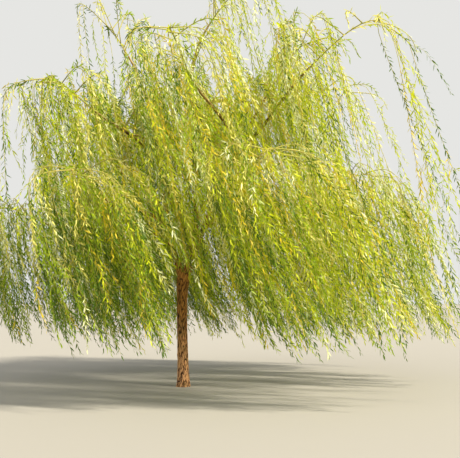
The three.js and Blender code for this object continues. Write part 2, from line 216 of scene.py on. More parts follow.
# Whips, on stem and branches. The first are those of the solids.
FIRST_WHIPS = 8
WHIPS = 50
WHIP_RADIUS = 0.0055
WHIP_BEND = 0.26
WHIP_LEAST = 0.45
WHIP_MOST = 3.4
WHIP_SHARES = [1, 0.85, 0.7, 0.55, 0.4, 0.28]
WHIP_TIP = 0.35
WHIPS_FROM = 0.15
WHIPS_OVER = 0.75
WHIP_TURN_SPREAD = 150
WHIP_HIGHEST_RISE = 0.1
WHIPS_KEPT = 0.2
FLOOR_SPREAD = 0.7
NEAR_END = 0.985

# Whips on the limb itself. Near the trunk they hang no lower than the inner floor.
LIMB_WHIP_PITCH = 0.18
LIMB_WHIPS_FROM = 0.32
LIMB_WHIPS_TO = 0.97
LIMB_WHIP_TURN = 60
LIMB_WHIP_TURN_SPREAD = 70
LIMB_WHIP_HIGHEST_RISE = 0.25
INNER_FLOOR = 2.15
INNER_NEAR = 0.5
INNER_REACH = 2.2

# Shoots, fine and leafy, on whips, then on branches and stems, then on the limb itself
SHOOT_PITCH = 0.26
SHOOTS_AT_LEAST = 3
SHOOT_LENGTH = 0.82
SHOOT_SHORTEST = 0.6
SHOOT_LENGTH_SPREAD = 0.7
SHOOT_LEAST = 0.2
SHOOT_SHARES = [1, 0.5]
SHOOTS_FROM = 0.06
SHOOTS_TO = 0.96
SHOOT_BEND = 0.22
SHOOT_SPLAY = 58
SPLAY_LEAST = 0.7
SPLAY_SPREAD = 0.6
END_SHOOT_SPLAY = 4
SHOOT_RADIUS = 0.0028
SHOOT_TIP = 0.4
SHOOT_LEAN_SPREAD = 0.68
SHOOT_BELOW_FLOOR = 0.1
SHOOT_FLOOR_SPREAD = 0.5
CROWN_SHOOT_PITCH = {"skirt": 0.17, "shoulder": 0.09, "top": 0.09}
CROWN_SHOOT_BEND = 0.2
CROWN_SHOOT_SPLAY = 70
CROWN_SHOOT_RISE = 0.55
LIMB_SHOOT_PITCH = 0.11
LIMB_SHOOT_SPLAY = 75
LIMB_SHOOTS_FROM = 0.02
LIMB_SHOOTS_BEYOND = 0.35

# How far the crown is thinned at each place where the sky shows through it, and the metres
# between which the thinning grows to that
OPEN_SHOULDER = 0.84
SHOULDER_DOWNWIND = (1.5, 2.9)
SHOULDER_HEIGHT = (2.9, 4.2)
OPEN_TOP = 0.72
TOP_HEIGHT = (4.5, 6.0)
TOP_LOWER_IN_FRONT = 0.3
OPEN_EDGE = 0.45
EDGE_UPWIND = (2.2, 2.9)
EDGE_HEIGHT = (3.9, 4.7)
OPEN_CORNER = 0.8
CORNER_HEIGHT = (6.5, 7.0)
CORNER_LOWER_UPWIND = 0.77

# Leaves, in a spiral on every twig from a share of its length to its end, all of the kind that
# is dealt at one of its points. The outline is given in shares of a leaf's length and width.
LEAVES_FROM = {"shoots": 0.05, "whips": 0.12, "branches": 0.2, "stems": 0.3}
DEALT_AT_POINT = {"shoots": 2, "whips": 7, "branches": 7, "stems": 7}
LEAVES_LEAST = 2
LEAF_PITCH = 0.0325
LEAF_PITCH_SPREAD = 0.5
LEAF_LENGTH = 0.098
LEAF_WIDTH = 0.0185
LEAF_SMALLEST = 0.72
LEAF_SIZE_SPREAD = 0.5
LEAF_SIZE_AT_ENDS = 0.62
LEAF_SPREAD = 62
LEAF_SPREAD_LOST = 0.45
LEAF_SPREAD_LEAST = 0.6
LEAF_SPREAD_OVER = 0.8
LEAF_ROLL_SPREAD = 110
LEAF_HANG = (0.1, 0, -0.22)
LEAF_BOW_LEAST = 0.05
LEAF_BOW_SPREAD = 0.2
LEAF_OUTLINE = [(0, 0), (0.28, 0.5), (0.28, -0.5), (0.64, 0.4), (0.64, -0.4), (1, 0)]
LEAF_FACES = [(0, 2, 1), (1, 2, 4), (1, 4, 3), (3, 4, 5)]
SPIRAL = 137.5
SPIRAL_SPREAD = 70
SHOOT_SPIRAL = 0.3819
LEAF_SEED = 20

# Where the light and shade fall that the kinds of leaf go by, and the places with yellowed
# leaves, each with its distance downwind, its height and its spread
LIT_FROM_LEFT = (-2.2, 2.6)
LIT_FROM_BELOW = (2.2, 5.8)
SHADE_TO_HEIGHT = (1.2, 3.4)
SHADE_LOST_RIGHT = 0.55
YELLOWED_PLACES = [(0.2, 4.6, 2.6), (2.8, 2.8, 1.2)]

# Pieces
TUBE_SIDES = 3
PIECE_TRIANGLES = 190000

# Fits
LOWEST = 0.12
OPENING_HALF_WIDTH = 0.13
OPENING_TOP = 1.85
LIMB_MARGIN = 0.008
SPACE_OVERLAP = 0.6
SPACE_LEAN = 0.34
SPACE_TALL = 0.36
MIDDLE_OUT = 0.32
MIDDLE_DROP = {"skirt": 0.2, "shoulder": 0.14, "top": 0}
BEYOND_SOLIDS = 0.12

GOLDEN = (math.sqrt(5) - 1) / 2
STEEP = 0.6
UP = np.array([0.0, 0.0, 1.0])


# A repeatable number from 0 to 1 for three whole numbers.
def chance(a, b, c):
    s = np.sin(a * 127.1 + b * 311.7 + c * 74.7) * 43758.5453
    return s - np.floor(s)


def fraction(x):
    return x - np.floor(x)


def point(x, y, z):
    return np.array([x, y, z], float)


def polar(azimuth, reach, height):
    return point(reach * math.cos(azimuth), reach * math.sin(azimuth), height)


def unit(v):
    return v / np.linalg.norm(v, axis=-1, keepdims=True)


def turned_about_up(v, degrees):
    c, s = math.cos(math.radians(degrees)), math.sin(math.radians(degrees))
    return point(c * v[0] - s * v[1], s * v[0] + c * v[1], v[2])


def smooth(x, low, high):
    t = np.clip((x - low) / (high - low), 0, 1)
    return t * t * (3 - 2 * t)


# The course of a limb, by its four corners
class Bezier:
    def __init__(self, *corners):
        self.corners = corners

    def at(self, t):
        t = np.asarray(t, float)[..., None]
        a, b, c, d = self.corners
        return a * (1 - t) ** 3 + 3 * b * t * (1 - t) ** 2 + 3 * c * t * t * (1 - t) + d * t**3

    def tangent(self, t):
        t = np.asarray(t, float)[..., None]
        a, b, c, d = self.corners
        return unit((b - a) * (1 - t) ** 2 + 2 * (c - b) * t * (1 - t) + (d - c) * t * t)

    def length(self):
        return float(np.linalg.norm(np.diff(self.at(np.linspace(0, 1, 41)), axis=0), axis=1).sum())


# A stem or branch that sets out one way and turns evenly until it falls with the breeze. Where
# the starts, directions and lengths are in rows, one for each twig, so are the points.
def arch(start, out, fall, length, shares):
    s = np.multiply.outer(length, shares)
    turned = s * shares**2 / 3
    ahead = out[..., None, :] * (s - turned)[..., None]
    return start[..., None, :] + ahead + fall[..., None, :] * turned[..., None]


# A whip or shoot that sets out one way and soon hangs straight in the breeze
def whip(start, out, fall, length, shares, bend):
    s = np.multiply.outer(length, shares)
    held = bend * (1 - np.exp(-s / bend))
    ahead = out[..., None, :] * held[..., None]
    return start[..., None, :] + ahead + fall[..., None, :] * (s - held)[..., None]


# The direction along twigs in rows at each point, and two across it, carried on without twist
def cross_frames(points):
    along = unit(np.gradient(points, axis=-2))
    steep = np.abs(along[..., 0, 2:]) > STEEP
    normal = np.where(steep, point(1, 0, 0), UP)
    normals, sides = [], []
    for i in range(points.shape[-2]):
        a = along[..., i, :]
        normal = unit(normal - a * (normal * a).sum(-1, keepdims=True))
        normals.append(normal)
        sides.append(np.cross(a, normal))
    return along, np.stack(normals, -2), np.stack(sides, -2)


# The trunk sways a little, and widens under its fork to the sides that the leaders leave from
trunk_heights = [-TRUNK_BELOW_CUT, FORK_HEIGHT * 0.3, FORK_HEIGHT * 0.65, FORK_HEIGHT]
trunk_east = np.polyfit(trunk_heights, [0, -TRUNK_SWAY * 0.4, -TRUNK_SWAY, 0], 3)
trunk_north = np.polyfit(trunk_heights, [0, 0, TRUNK_SWAY * 0.4, 0], 3)


def trunk_at(t):
    z = np.asarray(t, float) * FORK_HEIGHT
    return np.stack([np.polyval(trunk_east, z), np.polyval(trunk_north, z), z], -1)


def trunk_radius(t, angle=0.0):
    height = t * FORK_HEIGHT
    share = (height + TRUNK_BELOW_CUT) / (FORK_HEIGHT + TRUNK_BELOW_CUT)
    flare = ROOT_SPREAD * math.exp(-height / ROOT_RISE)
    ridges = 1 + RIDGE_DEPTH * math.cos(ROOT_RIDGES * angle + RIDGE_TURN)
    sideways = math.cos(angle) ** 2
    swell = FORK_SWELL * sideways * math.exp(-(((height - FORK_HEIGHT) / SWELL_REACH) ** 2))
    rounded_over = TOP_ROUNDING_FRONT + (TOP_ROUNDING_SIDES - TOP_ROUNDING_FRONT) * sideways
    rounding = math.sqrt(1 - TOP_CLOSING * max(0, (share - 1) / rounded_over + 1) ** 2)
    taper = 1 + TRUNK_TAPER * (0.5 - share)
    return (TRUNK_RADIUS * taper + flare * ridges + swell) * rounding


# A limb tapers to its tip, with a collar where it comes out of what carries it.
def limb_radius(limb, t):
    taper = (1 - t) ** LIMB_TAPER
    radius = limb["radius"]
    from_foot = t * limb["length"] / (COLLAR_REACH * radius)
    collar = LIMB_COLLAR * radius * from_foot * np.exp(1 - from_foot)
    return LIMB_TIP_RADIUS + (radius - LIMB_TIP_RADIUS) * taper + collar


# A limb's course from its foot, which it leaves towards away, to its tip, where it still rises
def arching(foot, away, tip, rise, steepness):
    span = np.linalg.norm(tip - foot)
    out = unit((tip - foot) * [1, 1, 0])
    end = out * math.cos(rise) + UP * math.sin(rise)
    return Bezier(foot, foot + away * span * steepness, tip - end * span * LIMB_TIP_STRAIGHTNESS, tip)


def limb(name, curve, **facts):
    mass = name.replace("leader", "foliage_top").replace("bough", "foliage")
    return {"name": name, "mass": mass, "curve": curve, "length": curve.length(), **facts}


def make_leader(plan):
    azimuth = math.radians(plan["azimuth"])
    foot = point(0, 0, FORK_HEIGHT - LEADER_FOOT)
    tip = polar(azimuth, plan["reach"], plan["height"])
    away = unit(polar(azimuth, LEADER_SET_OUT, 1))
    curve = arching(foot, away, tip, math.radians(LEADER_RISE), LEADER_STEEPNESS)
    return limb(
        "leader_" + plan["name"],
        curve,
        tier="top",
        azimuth=azimuth,
        radius=plan["radius"],
        floor=TOP_FLOOR,
        swept=0,
    )


# A bough leaves the leader that stands nearest to its azimuth.
def make_bough(tier, level, k, leaders):
    spread = AZIMUTH_SPREAD * (chance(k, level, 1) - 0.5)
    azimuth = math.radians(tier["azimuth"] + 360 / BOUGHS_IN_TIER * (k + spread))
    leader = min(leaders, key=lambda each: 1 - math.cos(each["azimuth"] - azimuth))
    leaves = tier["leaves"] + LEAVES_SPREAD * (chance(k, level, 2) - 0.3)
    downwind = math.cos(azimuth)
    reach = 1 + tier["swept"] * downwind + REACH_SPREAD * (chance(k, level, 3) - 0.5)
    height = 1 + HEIGHT_DOWNWIND * downwind + HEIGHT_SPREAD * (chance(k, level, 4) - 0.5)
    tip = polar(azimuth, tier["reach"] * reach, tier["height"] * height)
    away = unit(leader["curve"].tangent(leaves) + BOUGH_SET_OUT * polar(azimuth, 1, 0))
    curve = arching(leader["curve"].at(leaves), away, tip, math.radians(BOUGH_RISE), BOUGH_STEEPNESS)
    return limb(
        "bough_" + tier["name"] + "_" + str(k + 1),
        curve,
        tier=tier["name"],
        azimuth=azimuth,
        radius=BOUGH_RADIUS,
        floor=tier["floor"],
        swept=tier["swept"],
    )


leaders = [make_leader(plan) for plan in LEADERS]
boughs = [
    make_bough(tier, level, k, leaders) for level, tier in enumerate(TIERS) for k in range(BOUGHS_IN_TIER)
]
limbs = leaders + boughs


# Materials
def linear(colour):
    shares = [int(colour[i : i + 2], 16) / 255 for i in (1, 3, 5)]
    return [c / 12.92 if c <= 0.04045 else ((c + 0.055) / 1.055) ** 2.4 for c in shares] + [1]


# One node of a material or the world, with its settings. Inputs are values, or outputs of other
# nodes to link from.
def add(material, kind, inputs=None, **settings):
    tree = material.node_tree
    node = tree.nodes.new("ShaderNode" + kind)
    for key, value in settings.items():
        setattr(node, key, value)
    for key, value in (inputs or {}).items():
        if isinstance(value, bpy.types.NodeSocket):
            tree.links.new(value, node.inputs[key])
        else:
            node.inputs[key].default_value = value
    return node


def new_material(name):
    material = bpy.data.materials.new(name)
    material.use_nodes = True
    material.node_tree.nodes.clear()
    return material


# The colours of willow bark by age, and the heights between which one age passes into the next
# The furrow colours are the bark's darker furrows deepened to a near black, as painted shade in them.
BARK_FURROW_AND_SHADE = {"foot": "#170C05", "fork": "#150902", "limb": "#2E200A"}
BARK_SIDE = {"foot": "#6B4429", "fork": "#5C380E", "limb": "#6E531E"}
BARK_RIDGE = {"foot": "#DCA874", "fork": "#B67F37", "limb": "#9C8244"}
FOOT_TO_FORK = (0.3, 1.2)
FORK_TO_LIMB = (1.8, 3.1)

# The patterns in the bark and skin: plates and grains to one furrow's spacing, the plates' length
# for their width and their height in furrow spacings, and patches to the metre
PLATES_IN_SPACING = 1.3
GRAINS_IN_SPACING = 3
PLATE_STRETCH = 5
PLATE_HEIGHT = 0.12
BLOOM_PATCHES = 5.5
WARM_PATCHES = 14


# Willow bark some years old: dull corky ridges over darker furrows, with a thin green bloom of
# algae here and there. The colour falls into the furrows of the mesh to a near black, which is
# painted shade in them, and falls a little at the cracks between plates. The ridges are dry and
# pale pinkish tan near the ground, where they are oldest, orange brown at the fork, and olive and
# smoother along the limbs. Each is broken into small plates with a fine grain, in step with the
# furrows of the mesh.
def willow_bark(name, bloom):
    material = new_material(name)
    place = add(material, "TexCoord").outputs["Object"]
    height = add(material, "SeparateXYZ", {"Vector": place}).outputs["Z"]
    ages = [
        add(material, "MapRange", {"Value": height, "From Min": low, "From Max": high}).outputs["Result"]
        for low, high in (FOOT_TO_FORK, FORK_TO_LIMB)
    ]

    def by_age(colours):
        colour = linear(colours["foot"])
        for age, older in zip(ages, ("fork", "limb")):
            mixed = {"Factor": age, "A": colour, "B": linear(colours[older])}
            colour = add(material, "Mix", mixed, data_type="RGBA").outputs["Result"]
        return colour

    stretched = {"Vector": place, "Scale": (1, 1, 1 / PLATE_STRETCH)}
    along = add(material, "Mapping", stretched).outputs["Vector"]
    cells = {"Vector": along, "Scale": PLATES_IN_SPACING / FURROW_SPACING}
    crack = add(material, "TexVoronoi", cells, feature="DISTANCE_TO_EDGE").outputs["Distance"]
    plate = add(material, "MapRange", {"Value": crack, "From Max": 0.16}).outputs["Result"]
    finest = GRAINS_IN_SPACING / FURROW_SPACING
    fine = {"Vector": along, "Scale": finest, "Detail": 5, "Roughness": 0.65}
    grain = add(material, "TexNoise", fine).outputs["Fac"]
    depth = add(material, "Attribute", attribute_name="furrow").outputs["Fac"]
    # The tone is lowest in the furrows of the mesh, where the near-black colour is painted shade.
    relief = add(material, "Math", {0: depth, 1: 0.75, 2: -0.33}, operation="MULTIPLY_ADD").outputs[0]
    relief = add(material, "Math", {0: plate, 1: 0.22, 2: relief}, operation="MULTIPLY_ADD").outputs[0]
    tone = add(material, "Math", {0: grain, 1: 0.55, 2: relief}, operation="MULTIPLY_ADD", use_clamp=True)
    tone = tone.outputs[0]
    colour = by_age(BARK_FURROW_AND_SHADE)
    for next_up, low, high in ((BARK_SIDE, 0.1, 0.4), (BARK_RIDGE, 0.38, 0.74)):
        levels = {"Value": tone, "From Min": low, "From Max": high}
        share = add(material, "MapRange", levels).outputs["Result"]
        mixed = {"Factor": share, "A": colour, "B": by_age(next_up)}
        colour = add(material, "Mix", mixed, data_type="RGBA").outputs["Result"]
    broad = {"Vector": place, "Scale": BLOOM_PATCHES, "Detail": 4}
    patches = add(material, "TexNoise", broad).outputs["Fac"]
    levels = {"Value": patches, "From Min": 0.5, "From Max": 0.74, "To Max": 0.42}
    patch = add(material, "MapRange", levels).outputs["Result"]
    mixed = {"Factor": patch, "A": colour, "B": linear(bloom)}
    colour = add(material, "Mix", mixed, data_type="RGBA").outputs["Result"]
    cracked = add(material, "Math", {0: plate, 1: 0.5, 2: grain}, operation="MULTIPLY_ADD").outputs[0]
    relief = {"Height": cracked, "Strength": 0.8, "Distance": PLATE_HEIGHT * FURROW_SPACING}
    bump = add(material, "Bump", relief).outputs["Normal"]
    rough = add(material, "MapRange", {"Value": tone, "To Min": 0.96, "To Max": 0.78}).outputs["Result"]
    finish = {"Base Color": colour, "Roughness": rough, "Normal": bump, "IOR": 1.45}
    shader = add(material, "BsdfPrincipled", finish)
    add(material, "OutputMaterial", {"Surface": shader.outputs["BSDF"]})
    return material


# The skin of willow twigs: thin, smooth and waxy, and olive with warmer patches.
def twig_skin(name, olive, warm):
    material = new_material(name)
    place = add(material, "TexCoord").outputs["Object"]
    broad = {"Vector": place, "Scale": WARM_PATCHES, "Detail": 3}
    patches = add(material, "TexNoise", broad).outputs["Fac"]
    edges = {"Value": patches, "From Min": 0.38, "From Max": 0.66}
    patch = add(material, "MapRange", edges).outputs["Result"]
    mixed = {"Factor": patch, "A": linear(olive), "B": linear(warm)}
    colour = add(material, "Mix", mixed, data_type="RGBA").outputs["Result"]
    finish = {"Base Color": colour, "Roughness": 0.5, "IOR": 1.45, "Coat Weight": 0.15}
    shader = add(material, "BsdfPrincipled", finish)
    add(material, "OutputMaterial", {"Surface": shader.outputs["BSDF"]})
    return material


# A willow leaf: thin enough for the sun to glow through it, with a waxy skin that glints
def leaf_blade(name, colour, glow):
    material = new_material(name)
    wax = {"Base Color": linear(colour), "Roughness": 0.42, "IOR": 1.42, "Specular IOR Level": 0.5}
    skin = add(material, "BsdfPrincipled", wax)
    through = add(material, "BsdfTranslucent", {"Color": linear(glow)})
    both = {0: LEAF_GLOW, 1: skin.outputs["BSDF"], 2: through.outputs["BSDF"]}
    blade = add(material, "MixShader", both).outputs["Shader"]
    add(material, "OutputMaterial", {"Surface": blade})
    return material


# The kinds of leaf, each with its colour and that of the light through it: young leaves, dealt
# more where the sun falls as painted light, full-grown ones, a little more in the shade, deep
# green ones, dealt in the shade as painted shade, dry pale ones that are also painted highlights,
# the silvery backs that the breeze turns up, which are also painted highlights, and yellowed ones
LEAF_KINDS = {
    "fresh_and_sunlit": ("#C2CC18", "#CAD414"),
    "green": ("#90A812", "#9EBC0C"),
    "deep_green_and_shade": ("#4D6C09", "#628506"),
    "straw_and_highlight": ("#EAE480", "#E0DC50"),
    "silver_and_highlight": ("#E6EBB8", "#D2DE84"),
    "gold": ("#D4BE2A", "#DAC818"),
}
LEAF_GLOW = 0.38


# The height of the bark over its furrows, from 0 in a furrow to 1 on a ridge. Two sets of
# furrows that slant either way cross, so that the ridges between them are long diamonds.
def ridge_height(angle, along, radius, seed):
    around = radius / FURROW_SPACING
    deepest = 0
    for slant in (FURROW_TWIST, -FURROW_TWIST):
        turned = angle + slant * along
        x, y = around * math.cos(turned), around * math.sin(turned)
        wave = noise.noise(Vector((x, y, along / FURROW_LENGTH + seed + slant)))
        deepest = max(deepest, 1 - abs(FURROW_SHARPNESS * wave))
    x = around * math.cos(angle) * CRUMBS_IN_SPACING
    y = around * math.sin(angle) * CRUMBS_IN_SPACING
    crumbs = CRUMB_HEIGHT * noise.noise(Vector((x, y, along / CRUMB_LENGTH + seed)))
    return min(1, max(0, RIDGE_TOP - FURROW_CUT * deepest**FURROW_NARROWNESS + crumbs))


def knot_height(angle, height):
    raised = 0
    for at, azimuth, size in KNOTS:
        turn = (angle - math.radians(azimuth) + math.pi) % (2 * math.pi) - math.pi
        away = math.hypot(turn * TRUNK_RADIUS, (height - at) * KNOT_FLATTENING) / size
        raised += math.exp(-(away**2)) - HOLLOW_DEPTH * math.exp(-((away / HOLLOW_SIZE) ** 2))
    return raised


# A closed tube whose rings follow a limb. It starts as a unit cylinder, cut into rings.
def bark_tube(name, at, length, radius_at, around, step, seed, depth_at, knots=False):
    steps = round(length / step)
    centres = at(np.linspace(0, 1, steps + 1))
    normal, side = cross_frames(centres)[1:]
    bm = bmesh.new()
    unit_size = {"radius1": 1, "radius2": 1, "depth": 1}
    bmesh.ops.create_cone(bm, cap_ends=True, cap_tris=True, segments=around, **unit_size)
    upright = [e for e in bm.edges if abs(e.verts[0].co.z - e.verts[1].co.z) > 0.5]
    bmesh.ops.subdivide_edges(bm, edges=upright, cuts=steps - 1)
    furrow = bm.verts.layers.float.new("furrow")
    for v in bm.verts:
        t = v.co.z + 0.5
        i = round(t * steps)
        angle = math.atan2(v.co.y, v.co.x)
        smooth_radius = radius_at(t, angle)
        height = ridge_height(angle, t * length, smooth_radius, seed)
        radius = smooth_radius - depth_at(smooth_radius) * (1 - height)
        if knots:
            radius += KNOT_HEIGHT * knot_height(angle, t * length)
        out = (normal[i] * v.co.x + side[i] * v.co.y) * radius
        v.co = Vector(centres[i] + out)
        v.co.z = max(v.co.z, 0)
        v[furrow] = height
    mesh = bpy.data.meshes.new(name)
    bm.to_mesh(mesh)
    bm.free()
    mesh.shade_smooth()
    return place_piece(name, mesh)


def place_piece(name, mesh):
    piece = bpy.data.objects.new(name, mesh)
    bpy.context.scene.collection.objects.link(piece)
    return piece


def dress(piece, material, slot, *nodes):
    piece.data.materials.append(material)
    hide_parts(*nodes)
    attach(piece, "root")


def make_wood():
    bark = willow_bark("willow_bark", "#57561A")
    young = willow_bark("young_willow_bark", "#6C6E2A")
    trunk = bark_tube(
        "trunk_bark",
        trunk_at,
        FORK_HEIGHT,
        trunk_radius,
        BARK_AROUND,
        BARK_STEP,
        TRUNK_SEED,
        lambda radius: FURROW_DEPTH,
        knots=True,
    )
    dress(trunk, bark, "bark", "trunk")
    for number, each in enumerate(limbs):
        piece = bark_tube(
            each["name"] + "_bark",
            each["curve"].at,
            each["length"],
            lambda t, angle, each=each: limb_radius(each, t),
            YOUNG_BARK_AROUND[each["tier"]],
            YOUNG_BARK_STEP,
            LIMB_SEED + LIMB_SEED_STEP * number,
            lambda radius: YOUNG_FURROW_DEPTH * (radius / BOUGH_RADIUS) ** DEPTH_GROWTH,
        )
        dress(piece, young, "young_bark", each["name"])


# Spaces of the masses, on axes that lean with the breeze and count height for less than reach
def leaned(p):
    return np.stack([p[..., 0] + SPACE_LEAN * p[..., 2], p[..., 1], SPACE_TALL * p[..., 2]], -1)


def make_mass(number, each):
    out = each["curve"].tangent(1.0)
    start = each["curve"].at(1.0)
    swept = 1 + each["swept"] * math.cos(each["azimuth"])
    stem_length = swept * STEM_LENGTH[each["tier"]] * (1 + STEM_SPREAD * (chance(number, 5, 0) - 0.5))
    drop = MIDDLE_DROP[each["tier"]] * (start[2] - each["floor"])
    middle = start + out * [1, 1, 0] * MIDDLE_OUT * stem_length + point(SPACE_LEAN * drop, 0, -drop)
    return {
        "limb": each,
        "number": number,
        "start": start,
        "out": out,
        "stem_length": stem_length,
        "middle": leaned(middle),
    }


masses = [make_mass(number, each) for number, each in enumerate(limbs)]

# What the twigs keep clear of: the middles of the other masses' spaces, the limbs, and the ends
# of their own reach
middles = np.array([mass["middle"] for mass in masses])
limb_shares = np.linspace(0, 1, 60)
limb_points = np.concatenate([trunk_at(limb_shares)] + [each["curve"].at(limb_shares) for each in limbs])
limb_radii = np.concatenate(
    [[trunk_radius(t) for t in limb_shares]] + [limb_radius(each, limb_shares) for each in limbs]
)
limb_owner = np.repeat(np.arange(-1, len(limbs)), len(limb_shares))
reach_low = np.array(cad_box[0]) - BEYOND_SOLIDS
reach_high = np.array(cad_box[1]) + BEYOND_SOLIDS


# Which twigs in rows stay in their mass's space and reach, above the ground, off the limbs and
# out of the way to the trunk from the front
def fits(mass, points, overlap=SPACE_OVERLAP):
    others = np.delete(middles, mass["number"], 0)
    apart = unit(others - mass["middle"])
    half = ((others + mass["middle"]) / 2 * apart).sum(-1)
    inside = (half - leaned(points) @ apart.T).min(axis=(-1, -2)) > -overlap
    near = ((points > reach_low) & (points < reach_high)).all(axis=(-1, -2))
    low = points[..., 2].min(-1) > LOWEST
    ahead = (points[..., 1] < 0) & (points[..., 2] < OPENING_TOP)
    closing = (ahead & (np.abs(points[..., 0]) < OPENING_HALF_WIDTH)).any(-1)
    keep = limb_owner != mass["number"]
    far = np.linalg.norm(points[..., None, :] - limb_points[keep], axis=-1) - limb_radii[keep]
    return inside & near & low & ~closing & (far.min(axis=(-1, -2)) > LIMB_MARGIN)


# The way a twig hangs in the breeze from its start
def hanging(start, a, b, spread=LEAN_SPREAD):
    low = 1 - start[..., 2] / CROWN_TOP
    windward = np.clip(-start[..., 0] / WINDWARD_REACH, 0, 1)
    lean = (LEAN_HIGH + (LEAN_LOW - LEAN_HIGH) * low) * (1 - WINDWARD_SPARED * windward)
    along = lean + spread * (chance(a, b, 7) - 0.5)
    across = LEAN_ACROSS + spread * (chance(a, b, 8) - 0.5)
    return unit(np.stack([along, across + 0 * along, -1 + 0 * along], -1))


# The shares of a twig's length at which it has its points
STEM_STEPS = np.linspace(0, 1, 13)
WHIP_STEPS = np.linspace(0, 1, 15)
SHOOT_STEPS = np.linspace(0, 1, 5)


# A point and direction on a twig at a share of its length
def on_twig(points, t):
    place = t * (len(points) - 1)
    i = min(int(place), len(points) - 2)
    step = points[i + 1] - points[i]
    return points[i] + step * (place - i), unit(step)


# A twig at the longest share of its full length that fits
def first_fit(mass, shares, curve_for):
    for share in shares:
        points = curve_for(share)
        if fits(mass, points):
            return points
    return None


# Branches to both sides of the stem. Every other one at the top, past the first, rises high.
def make_branches(mass, stem):
    number = mass["number"]
    made = []
    for j in range(BRANCHES):
        t = BRANCHES_FROM + BRANCHES_OVER * fraction(0.1 + GOLDEN * j)
        turn = BRANCH_TURN_INNER + (BRANCH_TURN_OUTER - BRANCH_TURN_INNER) * t
        turn += BRANCH_TURN_SPREAD * (chance(number, j, 9) - 0.5)
        start, tangent = on_twig(stem, t)
        aside = turned_about_up(tangent, turn if j % 2 else -turn)
        high = mass["limb"]["tier"] == "top" and j >= FIRST_BRANCHES and j % 2
        aside[2] = HIGH_BRANCH_RISE if high else max(aside[2], BRANCH_STEEPEST_FALL) + BRANCH_LIFT
        aside = unit(aside)
        fall = hanging(start, number, j + 1)
        full = BRANCH_LENGTH[mass["limb"]["tier"]] * (1 - BRANCH_SHORTENING * t)
        branch = first_fit(
            mass, BRANCH_SHARES, lambda share: arch(start, aside, fall, full * share, STEM_STEPS)
        )
        if branch is not None:
            made.append((j < FIRST_BRANCHES, branch))
    return made + [(False, branch) for branch in make_limb_branches(mass)]


# Branches that leave the limb itself, rise to both sides and arch over, so that the crown is
# round between its masses
def make_limb_branches(mass):
    number, each = mass["number"], mass["limb"]
    tier = each["tier"]
    nearest = LIMB_BRANCHES_FROM[tier]
    made = []
    for j in range(LIMB_BRANCHES[tier]):
        t = nearest + (LIMB_BRANCHES_TO - nearest) * fraction(0.4 + GOLDEN * j)
        turn = LIMB_BRANCH_TURN + LIMB_BRANCH_TURN_SPREAD * chance(number, j, 23)
        turn *= 1 if j % 2 else -1
        aside = unit(polar(each["azimuth"] + math.radians(turn), 1, LIMB_BRANCH_RISE[tier]))
        root = each["curve"].at(t)
        start = root + aside * (limb_radius(each, t) + 2 * LIMB_MARGIN)
        fall = hanging(start, number, j + 60)
        grown = LIMB_BRANCH_SHARE[tier] + LIMB_BRANCH_SPREAD * chance(number, j, 24)
        full = BRANCH_LENGTH[tier] * grown
        points = first_fit(
            mass, BRANCH_SHARES, lambda share: arch(start, aside, fall, full * share, STEM_STEPS)
        )
        if points is not None:
            made.append(np.concatenate([root[None], points[1:]]))
    return made


# Whips from the stem and branches: one near the end of each, and then along them in turn
def make_whips(mass, stem, branches):
    number, floor = mass["number"], mass["limb"]["floor"]
    first = [stem] + [branch for early, branch in branches if early]
    every = [stem] + [branch for early, branch in branches]
    made = []
    for w in range(WHIPS):
        carriers = first if w < FIRST_WHIPS else every
        held = carriers[w % len(carriers)]
        at_end = w // len(carriers) == 0 and (w < FIRST_WHIPS or len(every) > len(first))
        place = fraction(0.35 + GOLDEN * (w // len(carriers) + 2 * (w % len(carriers))))
        start, tangent = on_twig(held, NEAR_END if at_end else WHIPS_FROM + WHIPS_OVER * place)
        turn = 0 if at_end else WHIP_TURN_SPREAD * (chance(number, w, 10) - 0.5)
        out = turned_about_up(tangent, turn)
        out[2] = min(out[2], WHIP_HIGHEST_RISE)
        out = unit(out)
        fall = hanging(start, number, w + 20)
        low = floor + FLOOR_SPREAD * chance(number, w, 11) ** 2
        room = min(WHIP_MOST, (start[2] - low) / -fall[2])
        shares = [share for share in WHIP_SHARES if room * share > WHIP_LEAST]
        points = first_fit(
            mass, shares, lambda share: whip(start, out, fall, room * share, WHIP_STEPS, WHIP_BEND)
        )
        if points is not None:
            made.append(points)
    return made


# Whips that hang from the limb itself, inside the crown. Their floor rises towards the trunk,
# so that the space under the crown stays open.
def make_limb_whips(mass):
    number, each = mass["number"], mass["limb"]
    count = round(each["length"] * (1 - LIMB_WHIPS_FROM) / LIMB_WHIP_PITCH)
    made = []
    for w in range(count):
        t = LIMB_WHIPS_FROM + (LIMB_WHIPS_TO - LIMB_WHIPS_FROM) * fraction(0.5 + GOLDEN * w)
        turn = LIMB_WHIP_TURN + LIMB_WHIP_TURN_SPREAD * chance(number, w, 21)
        turn *= 1 if w % 2 else -1
        start = each["curve"].at(t)
        out = turned_about_up(each["curve"].tangent(t), turn)
        out[2] = min(out[2], LIMB_WHIP_HIGHEST_RISE)
        out = unit(out)
        fall = hanging(start, number, w + 90)
        inner = 1 - smooth(math.hypot(start[0], start[1]), INNER_NEAR, INNER_REACH)
        low = INNER_FLOOR
        if each["tier"] != "top":
            low = each["floor"] + (INNER_FLOOR - each["floor"]) * inner
        low += FLOOR_SPREAD * chance(number, w, 22) ** 2
        room = min(WHIP_MOST, (start[2] - low) / -fall[2])
        shares = [share for share in WHIP_SHARES if room * share > WHIP_LEAST]
        start = start + out * (limb_radius(each, t) + 2 * LIMB_MARGIN)
        points = first_fit(
            mass, shares, lambda share: whip(start, out, fall, room * share, WHIP_STEPS, WHIP_BEND)
        )
        if points is not None:
            made.append(np.concatenate([each["curve"].at(t)[None], points[1:]]))
    return made


